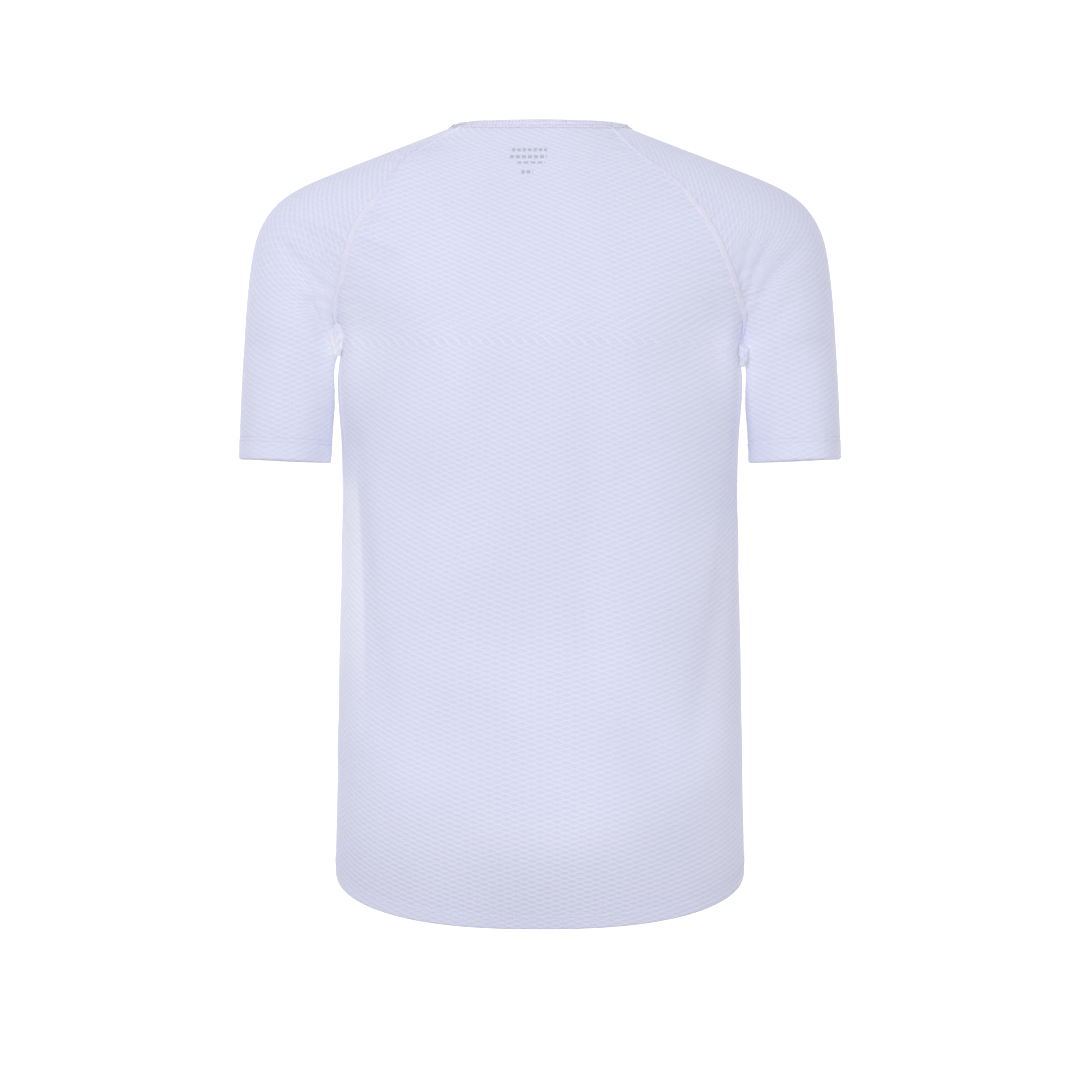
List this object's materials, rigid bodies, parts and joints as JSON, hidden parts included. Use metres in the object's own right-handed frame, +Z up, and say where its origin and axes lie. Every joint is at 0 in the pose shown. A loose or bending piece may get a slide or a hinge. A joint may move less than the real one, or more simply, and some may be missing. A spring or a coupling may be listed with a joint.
{
  "type": "short-sleeve base layer",
  "caption": "Close-fitting short-sleeve base layer of white openwork mesh knit, with raglan sleeves, a bound crew neck and a rounded drop tail, hollow as worn.",
  "frame": {"origin": "middle of the neck opening, level with the neck's side points, where the wearer's shoulders hold the shirt", "axes": "+Z up, +X to the wearer's right, +Y to the wearer's front; the back of the shirt faces -Y"},
  "size_m": [0.5286, 0.2373, 0.7017],
  "materials": {
    "back_knit": "openwork diamond mesh knit, matt",
    "front_knit": "openwork diamond mesh knit, matt",
    "left_sleeve_knit": "openwork diamond mesh knit, matt",
    "right_sleeve_knit": "openwork diamond mesh knit, matt",
    "band_rib": "folded fine jersey binding, matt"
  },
  "bodies": {
    "root": {"back_panel": "back_knit", "front_panel": "front_knit", "left_sleeve": "left_sleeve_knit", "right_sleeve": "right_sleeve_knit", "neck_band": "band_rib"}
  },
  "joints": []
}
